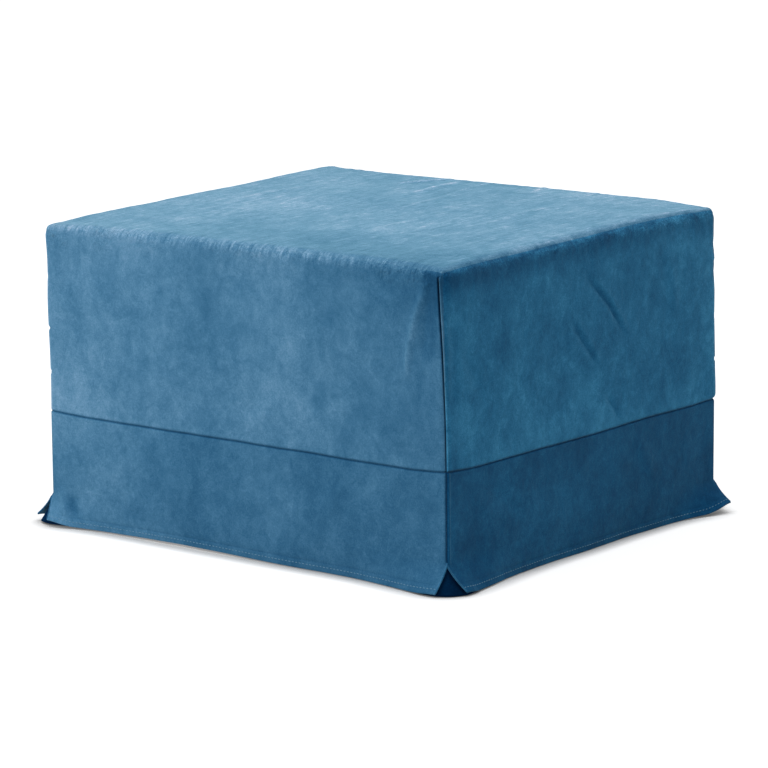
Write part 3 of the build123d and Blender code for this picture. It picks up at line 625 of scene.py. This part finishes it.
# painted shade on the seam roll, at the sewn ends, along the hem turn and in the dent, and a painted highlight on the
# free ends
skirtShadeMarks = {"roll": 1.4, "seam": 2.0, "hemLine": 0.2, "dent": 1.8, "freeEnd": -0.4}
napStops = (-0.371, -0.3, -0.15, 0, 0.15, 0.3, 0.371)
skirtPaintedShade = {  # painted shade: how dark each panel is drawn at these places along it
    "front": (-0.22, -0.1, 0.14, 0.36, 0.54, 0.64, 0.66), "right": (1.15, 1.2, 1.2, 1.18, 1.12, 1.06, 1.02),
    "back": (0.5, 0.55, 0.6, 0.6, 0.6, 0.55, 0.5), "left": (0.5, 0.48, 0.45, 0.42, 0.4, 0.38, 0.36)}
skirtFolds = {
    "front": [([(-.352, .06), (-.345, .04), (-.33, .01)], .0055, .003, .35),
              ([(-.335, .052), (-.325, .03), (-.312, .012)], .007, -.003, .35),
              ([(.2, .15), (.17, .11), (.16, .07)], .014, .0014, .4)],
    "right": [([(-.26, .15), (-.2, .11), (-.15, .08)], .012, -.0016, .4),
              ([(.12, .15), (.16, .1), (.17, .06)], .012, .0014, .4)],
    "back": [([(-.2, .14), (-.16, .09), (-.15, .05)], .01, .0018, .4),
             ([(.28, .06), (.3, .03), (.31, .01)], .007, -.0022, .35)],
    "left": [([(.1, .14), (.06, .09), (.05, .05)], .011, .0018, .4),
             ([(-.24, .13), (-.22, .09), (-.21, .05)], .012, -.0015, .4)]}
dentFold = ([(-.338, .055), (-.326, .032), (-.31, .008)], .0085, 0.36, .35)  # painted shade in the dent at the front's free end


def lowness(z):
    # 0 at the top of the slit, 1 at the hem
    return np.clip((slitZ - z) / (slitZ - hemZ), 0, 1)


def skirtPoint(side, u, z):
    # where the cloth of a panel lies; u runs along the panel and z up
    way, away, half, face = axes[side]
    low = lowness(z)
    closed = ease(z, slitZ - 0.006, slitZ + 0.004)
    place, out, up = u.copy(), np.full(len(u), face), z.copy()
    for sign, (flare, back, lift, reach) in zip((-1, 1), ends[side]):
        gap = half - sign * u
        near = 1 - ease(gap, 0, reach)
        nearer = 1 - ease(gap, 0, 0.055)
        out = out + flare * near**1.25 * low**1.25
        place = place - sign * back * nearer * low**1.15
        up = up + lift * ((near + nearer) / 2)**1.3 * low**1.5
        t = np.clip(1 - gap / skirt["turn"], 0, 1)
        place = place - sign * skirt["roll"] * t**2 * closed
        out = out - skirt["roll"] * t**1.6 * closed
    if side == "front":
        up = up + skirt["frontRise"] * hump(u + 0.12, 0.17) * low**1.2  # the hem rides up a little there
    points = np.stack([place, out, up], 1)
    large, small = skirt["swells"]
    swell = ripple(points, 0.13, 11.3 + face * 9) * large + ripple(points, 0.055, 5.9 + half * 7) * small
    swell = swell * ease(seamZ - z, 0.0, 0.06) + np.sin(u * 21 + face * 40) * skirt["wave"] * low
    free = 0.35 * (1 - closed)
    out = out + swell * (free + (1 - free) * ease(half - np.abs(u), 0, 0.03))
    return np.outer(place, way) + np.outer(out, away) + np.outer(up, (0, 0, 1))


def skirtPanel(side):
    way, away, half, face = axes[side]
    us = spacing(half)
    zs = np.concatenate([hemZ + np.array(skirt["nearHem"]), np.linspace(.037, seamZ - .01, 25),
                         seamZ - np.array(nearSeam)])
    u, z = np.tile(us, len(zs)), np.repeat(zs, len(us))
    rolled = hump(seamZ - z, 0.0015)
    hemLine = hump(z - hemZ - skirt["hemTurn"], 0.0012)
    push = -rolled * skirt["seamRoll"] - hemLine * 0.0005
    gap = half - np.abs(u)
    closed = ease(z, slitZ - 0.004, slitZ + 0.004)
    if side in ("right", "left"):
        sewn = u < 0 if side == "right" else 1  # the end that laps over the next panel
        push += hump(gap - 0.005, 0.0016) * sewn * closed * skirt["edgeWelt"]
    push += folded(u, z, skirtFolds[side])
    points = skirtPoint(side, u, z) + np.outer(push, away)
    points[:, 2] += seamWave(points) * (1 - ease(seamZ - z, 0.004, 0.05))
    dent = foldLine(u, z, *dentFold) if side == "front" else 0
    nap = np.interp(u, napStops, skirtPaintedShade[side])
    for label, mark in (("roll", rolled), ("seam", hump(gap, 0.0022) * closed), ("hemLine", hemLine), ("dent", dent),
                        ("freeEnd", (1 - closed) * hump(gap, 0.0018))):
        nap += mark * skirtShadeMarks[label]
    panel = meshPiece(f"skirt{side.title()}", points, stripFaces(len(us), len(zs)), coverCloth, nap=nap,
                      warm=warmth[side])
    return thickened(panel, skirt["cloth"])


skirts = {side: skirtPanel(side) for side in axes}
print("skirts made,", sum(len(panel.data.polygons) for panel in skirts.values()), "faces")

# the inset pleat that closes each slit from behind, following both flaps and bowed out between them
pleat = {"wing": 0.046, "inside": 0.0034, "bow": 0.0065, "least": 0.0016, "top": 0.064, "cloth": 0.0016,
         "levels": 16, "across": 15, "rise": {"right": 0.013, "left": 0.002}}  # under a flap that is lifted
cornerPairs = {"front_right": ("front", "right"), "back_right": ("right", "back"), "back_left": ("back", "left"),
               "front_left": ("left", "front")}


def cornerPleat(first, second):
    across, levels = pleat["across"], []
    wayOut = axes[first][1] + axes[second][1]
    wayOut /= np.linalg.norm(wayOut)
    t = np.linspace(0, 1, across)
    r = t[1:-1]
    zs = np.linspace(hemZ + 0.0005 + pleat["rise"].get(first, 0), pleat["top"], pleat["levels"])
    for z in zs:
        low = float(lowness(z))
        run = pleat["wing"] - t * (pleat["wing"] - 0.004 - 0.002 * low)
        wings = []
        for side, sign in ((first, 1), (second, -1)):
            way, away, half, face = axes[side]
            wing = skirtPoint(side, sign * (half - run), np.full(across, z)) - pleat["inside"] * away
            wing[:, 2] = z
            wings.append(wing)
        start, stop = wings[0][-1], wings[1][-1]
        bow = np.outer(np.sin(r * np.pi) ** 0.8, wayOut) * (pleat["least"] + pleat["bow"] * low)
        levels.append(np.concatenate([wings[0], start + np.outer(r, stop - start) + bow, wings[1][::-1]]))
    piece = meshPiece(f"pleat{first.title()}{second.title()}", np.concatenate(levels),
                      stripFaces(len(levels[0]), len(levels)), pleatCloth)
    return thickened(piece, pleat["cloth"])


pleats = {corner: cornerPleat(*pair) for corner, pair in cornerPairs.items()}
print("pleats made,", len(pleats))


def tubePiece(name, paths, radius, finish, closed=False):
    curve = bpy.data.curves.new(name, "CURVE")
    curve.dimensions, curve.bevel_depth, curve.bevel_resolution, curve.use_fill_caps = "3D", radius, 3, True
    for path in paths:
        line = curve.splines.new("POLY")
        line.points.add(len(path) - 1)
        line.points.foreach_set("co", np.concatenate([np.asarray(path), np.ones((len(path), 1))], 1).ravel())
        line.use_cyclic_u = closed
    holder = inScene(name + "Path", curve)
    mesh = bpy.data.meshes.new_from_object(holder.evaluated_get(bpy.context.evaluated_depsgraph_get()))
    bpy.data.objects.remove(holder)
    bpy.data.curves.remove(curve)
    mesh.name = name
    dressed(mesh, finish)
    return inScene(name, mesh)


# rolled welts on the free edges of the flaps, drawn darker with painted shade
slitWelt = {"radius": 0.00125, "inside": 0.0008, "nap": 0.55, "warm": 0.25, "points": 16}


def slitWelts():
    zs = np.linspace(hemZ + 0.0012, slitZ + 0.001, slitWelt["points"])
    paths = [skirtPoint(side, np.full(len(zs), sign * half), zs) - slitWelt["inside"] * away
             for side, (way, away, half, face) in axes.items() for sign in (-1, 1)]
    welt = tubePiece("slitWelts", paths, slitWelt["radius"], coverCloth)
    painted(welt.data, nap=slitWelt["nap"], warm=slitWelt["warm"])
    return welt


welts = slitWelts()

# topstitching along the hem, by geometry nodes
stitch = {"pitch": 0.0062, "length": 0.004, "width": 0.0011, "jitter": (0.82, 1.12), "seed": 7,
          "height": 0.0075, "proud": 0.0001, "margin": 0.004, "points": 160}


def stitchTree():
    tree = bpy.data.node_groups.new("hemStitch", "GeometryNodeTree")
    face = tree.interface
    face.new_socket("Geometry", in_out="INPUT", socket_type="NodeSocketGeometry")
    face.new_socket("Geometry", in_out="OUTPUT", socket_type="NodeSocketGeometry")
    new = tree.nodes.new
    start, end = new("NodeGroupInput"), new("NodeGroupOutput")
    line, points = new("GeometryNodeMeshToCurve"), new("GeometryNodeResampleCurve")
    points.mode = "LENGTH"
    bead, turn = new("GeometryNodeMeshUVSphere"), new("FunctionNodeAlignEulerToVector")
    tangent, size, jitter = new("GeometryNodeInputTangent"), new("ShaderNodeCombineXYZ"), new("FunctionNodeRandomValue")
    place, real = new("GeometryNodeInstanceOnPoints"), new("GeometryNodeRealizeInstances")
    paint, longer = new("GeometryNodeSetMaterial"), new("ShaderNodeMath")
    longer.operation = "MULTIPLY"
    turn.axis = "X"
    least, most = stitch["jitter"]
    for node, inlet, value in ((bead, "Segments", 8), (bead, "Rings", 5), (bead, "Radius", 0.5), (jitter, 2, least),
                               (jitter, 3, most), (jitter, "Seed", stitch["seed"]), (points, "Length", stitch["pitch"]),
                               (longer, 0, stitch["length"]), (size, "Y", stitch["width"]),
                               (size, "Z", stitch["width"]), (paint, "Material", hemThread)):
        node.inputs[inlet].default_value = value
    for source, output, sink, inlet in (
            (start, 0, line, 0), (line, 0, points, "Curve"), (jitter, 1, longer, 1), (longer, 0, size, "X"),
            (tangent, 0, turn, "Vector"), (points, 0, place, "Points"), (bead, 0, place, "Instance"),
            (turn, 0, place, "Rotation"), (size, 0, place, "Scale"), (place, 0, real, 0),
            (real, 0, paint, "Geometry"), (paint, 0, end, 0)):
        tree.links.new(source.outputs[output], sink.inputs[inlet])
    return tree


def hemRow():
    points, edges = [], []
    count = stitch["points"]
    for side, (way, away, half, face) in axes.items():
        us = np.linspace(-half + stitch["margin"], half - stitch["margin"], count)
        path = skirtPoint(side, us, np.full(count, hemZ + stitch["height"])) + stitch["proud"] * away
        edges += [(len(points) + i, len(points) + i + 1) for i in range(count - 1)]
        points += [tuple(p) for p in path]
    mesh = bpy.data.meshes.new("hemStitches")
    mesh.from_pydata(points, edges, [])
    row = inScene("hemStitches", mesh)
    row.modifiers.new("stitches", "NODES").node_group = stitchTree()
    return applied(row)


hemStitches = hemRow()
print("stitches made,", len(hemStitches.data.polygons), "faces")

# mattress pads: the ticking blown up over its foam by a cloth simulation, with piped edges and tufts
pads = {"voxel": 0.0062, "shrink": 0.003, "cap": 0.009, "pressure": 4.0, "steps": 14, "held": 0.006,
        "inBox": 0.0004, "pipe": 0.0026, "pipeInset": 0.0125, "pipeStep": 0.006, "tuft": 0.0075,
        "pressed": 0.009, "across": (-0.24, 0.0, 0.24), "rows": (0.25, 0.75)}
felt = {"turns": 20, "profile": [(0.0, 0.0024), (0.0035, 0.0022), (0.0065, 0.0014), (0.0085, 0.0),
                                 (0.008, -0.0012), (0.0, -0.0016)]}  # radius and height of a tuft's washer


def islandsOf(form):
    # the separate shells of a mesh, as lists of their points
    bmesh.ops.remove_doubles(form, verts=form.verts, dist=1e-5)
    islands, seen = [], set()
    for vert in form.verts:
        if vert in seen:
            continue
        stack, island = [vert], []
        seen.add(vert)
        while stack:
            one = stack.pop()
            island.append(one)
            for edge in one.link_edges:
                other = edge.other_vert(one)
                if other not in seen:
                    seen.add(other)
                    stack.append(other)
        islands.append(island)
    return islands


def outerShell(node):
    # a CAD ticking without its inner wall
    form = bmesh.new()
    form.from_mesh(node.data)
    islands = sorted(islandsOf(form), key=lambda island: max(v.co.x for v in island), reverse=True)
    for island in islands[1:]:
        bmesh.ops.delete(form, geom=island, context="VERTS")
    bmesh.ops.recalc_face_normals(form, faces=form.faces)
    mesh = bpy.data.meshes.new("shell")
    form.to_mesh(mesh)
    form.free()
    return mesh


def coords(mesh):
    flat = np.empty(len(mesh.vertices) * 3, np.float32)
    mesh.vertices.foreach_get("co", flat)
    return flat.reshape(-1, 3).astype(float)


def loopAt(mesh, height):
    # the outline of a closed mesh at one height, as evenly spaced points
    form = bmesh.new()
    form.from_mesh(mesh)
    cut = bmesh.ops.bisect_plane(form, geom=form.verts[:] + form.edges[:] + form.faces[:],
                                 plane_co=(0, 0, height), plane_no=(0, 0, 1))
    following = {}
    for edge in (item for item in cut["geom_cut"] if isinstance(item, bmesh.types.BMEdge)):
        a, b = edge.verts
        following.setdefault(a, []).append(b)
        following.setdefault(b, []).append(a)
    loops, left = [], dict.fromkeys(following)
    while left:
        now, last = left.popitem()[0], None
        loop = [now.co.copy()]
        while True:
            ahead = [v for v in following[now] if v in left and v is not last]
            if not ahead:
                break
            last, now = now, ahead[0]
            left.pop(now)
            loop.append(now.co.copy())
        loops.append(loop)
    form.free()
    loop = np.array([tuple(p) for p in max(loops, key=len)])
    closed = np.concatenate([loop, loop[:1]])
    gone = np.concatenate([[0], np.cumsum(np.linalg.norm(np.diff(closed, axis=0), axis=1))])
    even = np.linspace(0, gone[-1], int(gone[-1] / pads["pipeStep"]))[:-1]
    loop = np.stack([np.interp(even, gone, closed[:, i]) for i in range(3)], 1)
    for _ in range(3):
        loop = (np.roll(loop, 1, 0) + loop * 2 + np.roll(loop, -1, 0)) / 4
    return loop


def blownUp(pad, points, bottom):
    # cloth under pressure, held where the pad lies on its slats; each point moves no further than the cap
    group = pad.vertex_groups.new(name="held")
    group.add([i for i, p in enumerate(points) if abs(p[2] - bottom) < pads["held"]], 1.0, "REPLACE")
    cloth = pad.modifiers.new("cloth", "CLOTH")
    cloth.settings.use_pressure = True
    cloth.settings.uniform_pressure_force = pads["pressure"]
    cloth.settings.effector_weights.gravity = 0
    cloth.settings.quality = 4
    cloth.settings.vertex_group_mass = "held"
    cloth.point_cache.frame_start, cloth.point_cache.frame_end = 1, pads["steps"]
    for step in range(1, pads["steps"] + 1):
        bpy.context.scene.frame_set(step)
    applied(pad)
    bpy.context.scene.frame_set(1)
    move = coords(pad.data) - points
    far = np.linalg.norm(move, axis=1)
    return points + move * np.minimum(1, pads["cap"] / np.maximum(far, 1e-9))[:, None]


def makePad(section, softSide):
    name, node = f"{section}Pad", cadNodes[f"{section}_pad_ticking"]
    pad = inScene(name, outerShell(node))
    lo, hi = (np.array(corner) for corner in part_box(node.name))
    tuftPlaces = [(x, lo[1] + (hi[1] - lo[1]) * share) for share in pads["rows"] for x in pads["across"]]
    remesh = pad.modifiers.new("voxels", "REMESH")
    remesh.mode, remesh.voxel_size = "VOXEL", pads["voxel"]
    applied(pad)
    middle, half = (lo + hi) / 2, (hi - lo) / 2
    points = middle + (coords(pad.data) - middle) * (half - pads["shrink"]) / half
    pad.data.vertices.foreach_set("co", points.ravel())
    points = blownUp(pad, points, lo[2] if softSide > 0 else hi[2])
    # the pad stays within its CAD box, and tufts pull the ticking in
    points = np.clip(points, lo + pads["inBox"], hi - pads["inBox"])
    for x, y in tuftPlaces:
        near = np.hypot(points[:, 0] - x, points[:, 1] - y)
        sign = np.where(points[:, 2] > middle[2], 1, -1)
        points[:, 2] -= sign * pads["tuft"] * (hump(near, 0.024) + 0.35 * hump(near, 0.075))
    if section == "foot":
        # the cover presses its top corners down
        outer = np.hypot(np.abs(points[:, 0] - middle[0]) - half[0], np.abs(points[:, 1] - middle[1]) - half[1])
        points[:, 2] -= pads["pressed"] * hump(outer, 0.09) * ease(points[:, 2], middle[2], hi[2])
    pad.data.vertices.foreach_set("co", points.ravel())
    pad.data.update()
    smooth = pad.modifiers.new("smooth", "SMOOTH")
    smooth.factor, smooth.iterations = 0.5, 4
    finer = pad.modifiers.new("finer", "SUBSURF")
    finer.levels = finer.render_levels = 1
    applied(pad)
    dressed(pad.data, tickingCloth)
    pipes = [loopAt(pad.data, height) for height in (lo[2] + pads["pipeInset"], hi[2] - pads["pipeInset"])]
    piping = tubePiece(f"{name}Piping", pipes, pads["pipe"], tickingCloth, closed=True)
    tufts = [(x, y, z - way * (pads["tuft"] + pads["inBox"]), way)
             for x, y in tuftPlaces for way, z in ((1, hi[2]), (-1, lo[2]))]
    return pad, piping, tuftButtons(f"{name}Tufts", tufts)


def tuftButtons(name, places):
    # felt washers with a domed face, tied through the pad
    points, faces = [], []
    profile, turns = felt["profile"], felt["turns"]
    angles = np.arange(turns) * 2 * math.pi / turns
    for x, y, z, way in places:
        rings = [len(points) + np.arange(turns) + row * turns for row in range(len(profile) - 2)]
        for r, h in profile[1:-1]:
            points += [(x + r * math.cos(a), y + r * math.sin(a), z + h * way) for a in angles]
        top, bottom = len(points), len(points) + 1
        points += [(x, y, z + profile[0][1] * way), (x, y, z + profile[-1][1] * way)]
        button = [quad for upper, lower in zip(rings[:-1], rings[1:]) for quad in ringFaces(upper, lower)]
        first, last = rings[0], rings[-1]
        for i in range(turns):
            k = (i + 1) % turns
            button += [(top, first[i], first[k]), (bottom, last[k], last[i])]
        faces += button if way > 0 else [face[::-1] for face in button]
    return meshPiece(name, points, faces, hemThread)


padSet = {}
for section, softSide in (("head", 1), ("middle", -1), ("foot", 1)):
    padSet[section] = makePad(section, softSide)
    print(section, "pad made,", len(padSet[section][0].data.polygons), "faces")

# webbing straps that hold each pad to its slats
strap = {"width": 0.025, "thick": 0.0014, "thinEdge": 0.25, "bend": 0.0035, "columns": 7, "bowed": 0.0001}
bendAngles = np.linspace(0.2, 1.37, 5)


def strapPath(lo, hi, near, far, way):
    # once round the slat, in the plane across it
    bend = strap["bend"]
    small = [bend * (1 - math.cos(a)) for a in bendAngles]
    large = [bend * (1 - math.sin(a)) for a in bendAngles]
    path = [(lo[1], near), (lo[1], far + way * bend)]
    path += [(lo[1] + a, far + way * b) for a, b in zip(small, large)]
    path += [(lo[1] + bend, far), ((lo[1] + hi[1]) / 2, far + way * strap["bowed"]), (hi[1] - bend, far)]
    path += [(hi[1] - b, far + way * a) for a, b in zip(small, large)]
    return np.array(path + [(hi[1], far + way * bend), (hi[1], near)])


def padStraps(section):
    padLow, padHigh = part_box(f"{section}_pad_ticking")
    form = bmesh.new()
    form.from_mesh(cadNodes[f"{section}_pad_straps"].data)
    boxes = [np.array([tuple(v.co) for v in island]) for island in islandsOf(form)]
    boxes = [(box.min(0), box.max(0)) for box in boxes]
    form.free()
    points, faces, length, columns = [], [], 0.0, strap["columns"]
    for lo, hi in boxes:
        opensUp = abs(hi[2] - padLow.z) < abs(lo[2] - padHigh.z)
        near, far = (hi[2], lo[2]) if opensUp else (lo[2], hi[2])
        path = strapPath(lo, hi, near, far, 1 if opensUp else -1)
        inward = np.array([(lo[1] + hi[1]) / 2, (near + far) / 2])
        length = float(np.linalg.norm(np.diff(path, axis=0), axis=1).sum())
        across = np.linspace(lo[0], hi[0], columns)
        base, rows = len(points), len(path)
        count = columns * rows
        for shell in (0, 1):
            for y, z in path:
                pull = inward - (y, z)
                pull = pull / max(np.linalg.norm(pull), 1e-9) * strap["thick"] * shell
                for i, x in enumerate(across):
                    thin = 1 - strap["thinEdge"] * (i in (0, columns - 1))
                    points.append((x, y + pull[0] * thin, z + pull[1] * thin))
        skin = stripFaces(columns, rows)
        faces += [tuple(base + i for i in f) for f in skin] + [tuple(base + count + i for i in f[::-1]) for f in skin]
        left, right = (range(base + i, base + count, columns) for i in (0, columns - 1))
        first, last = (range(base + j * columns, base + (j + 1) * columns) for j in (0, rows - 1))
        for edge, turn in ((left, 1), (right, -1), (first, -1), (last, 1)):
            faces += [(a, b, count + b, count + a)[::turn] for a, b in zip(edge[:-1], edge[1:])]
    straps = meshPiece(f"{section}PadStraps", points, faces, strapWebbing)
    form = bmesh.new()
    form.from_mesh(straps.data)
    bmesh.ops.recalc_face_normals(form, faces=form.faces)
    form.to_mesh(straps.data)
    form.free()
    return straps, length, len(boxes)


strapSet = {section: padStraps(section) for section in padSet}
print("straps made")

# what stands for what, and what it rides on
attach(body, "cover")
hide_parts("cover_body")
for side, panel in skirts.items():
    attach(panel, "cover")
    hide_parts(f"skirt_{side}")
    [hemStitches, welts] if side == "front" else []
for corner, piece in pleats.items():
    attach(piece, "cover")
    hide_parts(f"corner_pleat_{corner}")
for extra in (welts, hemStitches):
    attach(extra, "cover")
sectionBody = {"head": "base", "middle": "middle", "foot": "foot"}
for section, (pad, piping, tufts) in padSet.items():
    straps, strapLength, strapCount = strapSet[section]
    for piece in (pad, piping, tufts, straps):
        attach(piece, sectionBody[section])
    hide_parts(f"{section}_pad_ticking", f"{section}_pad_foam_core")
    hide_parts(f"{section}_pad_straps")
    strap["width"] * strapCount

# floor, backdrop light and lamps
studio = {"grey": 0.55, "glow": 0.78, "clearing": (0.6, 2.2), "contact": 0.03, "contactPower": 2.8, "half": 9.0,
          "ambient": 0.17}
lamps = {  # place, aim, size and power
    "topSoftbox": ((0.0, 0.1, 2.9), (0.0, 0.0, 0.3), (2.6, 2.6), 49.0),
    "frontSoftbox": ((-1.3, -3.4, 1.9), (0.0, 0.0, 0.25), (2.0, 1.6), 52.0),
    "sideSoftbox": ((3.4, 0.6, 1.9), (0.0, 0.0, 0.25), (2.0, 1.6), 10.0)}


def seenWhite(tree):
    # 1 for the camera, and for what is mirrored or seen through
    rays = tree.nodes.new("ShaderNodeLightPath")
    camera, *others = (Wire(tree, rays.outputs[f"Is {name} Ray"]) for name in ("Camera", "Glossy", "Transmission"))
    return camera.maths("MAXIMUM", others[0]).maths("MAXIMUM", others[1])


def makeFloor():
    floor = Finish("studioFloor", Roughness=1.0, Specular_IOR_Level=0.0, Emission_Strength=1.0)
    grey = studio["grey"]
    floor.feed("Base Color", floor.mixed(floor.cloud(3.0, 2.0, 0.5), (grey,) * 3, (grey * 1.01,) * 3))
    x, y = floor.axis("X"), floor.axis("Y")
    away = ((x * x + y * y) ** 0.5).above(*studio["clearing"])
    clear = floor.node("ShaderNodeAmbientOcclusion", "AO", {"samples": 8}, Distance=studio["contact"])
    glow = seenWhite(floor.tree) * (away * (1.0 - studio["glow"]) + studio["glow"]) * clear ** studio["contactPower"]
    floor.feed("Emission Color", glow)
    corners = [(x * studio["half"], y * studio["half"], 0) for x, y in ((-1, -1), (1, -1), (1, 1), (-1, 1))]
    meshPiece("studioFloorPlane", corners, [(0, 1, 2, 3)], floor.material)


def makeWorld():
    world = bpy.data.worlds.new("studioWorld")
    bpy.context.scene.world = world
    world.use_nodes = True
    tree = world.node_tree
    back = tree.nodes["Background"]
    back.inputs["Color"].default_value = (1, 1, 1, 1)
    plug(tree, back.inputs["Strength"], seenWhite(tree) * (1.0 - studio["ambient"]) + studio["ambient"])


def softLamp(name, place, aim, size, power):
    lamp = bpy.data.lights.new(name, "AREA")
    lamp.shape, lamp.size, lamp.size_y, lamp.energy = "RECTANGLE", *size, power
    holder = inScene(name, lamp)
    holder.location = place
    holder.rotation_euler = (Vector(aim) - Vector(place)).to_track_quat("-Z", "Y").to_euler()


makeFloor()
makeWorld()
for name, values in lamps.items():
    softLamp(name, *values)

# the photograph's viewpoint
view = {"place": (3.596, -4.536, 1.341), "yaw": math.radians(-38.41), "pitch": math.radians(11.13), "roll": -0.0076,
        "lens": 185.6, "sensor": 36, "reach": 100}


def makeCamera():
    yaw, pitch, roll = view["yaw"], view["pitch"], view["roll"]
    ahead = Vector((math.sin(yaw) * math.cos(pitch), math.cos(yaw) * math.cos(pitch), -math.sin(pitch)))
    right = Vector((math.cos(yaw), -math.sin(yaw), 0))
    up = right.cross(ahead)
    side = right * math.cos(roll) + up * math.sin(roll)
    above = up * math.cos(roll) - right * math.sin(roll)
    data = bpy.data.cameras.new("photoCamera")
    data.lens, data.sensor_width, data.clip_end = view["lens"], view["sensor"], view["reach"]
    camera = inScene("photoCamera", data)
    camera.matrix_world = Matrix.Translation(view["place"]) @ Matrix((side, above, -ahead)).transposed().to_4x4()
    bpy.context.scene.camera = camera


makeCamera()
bpy.context.scene.view_settings.view_transform = "Standard"
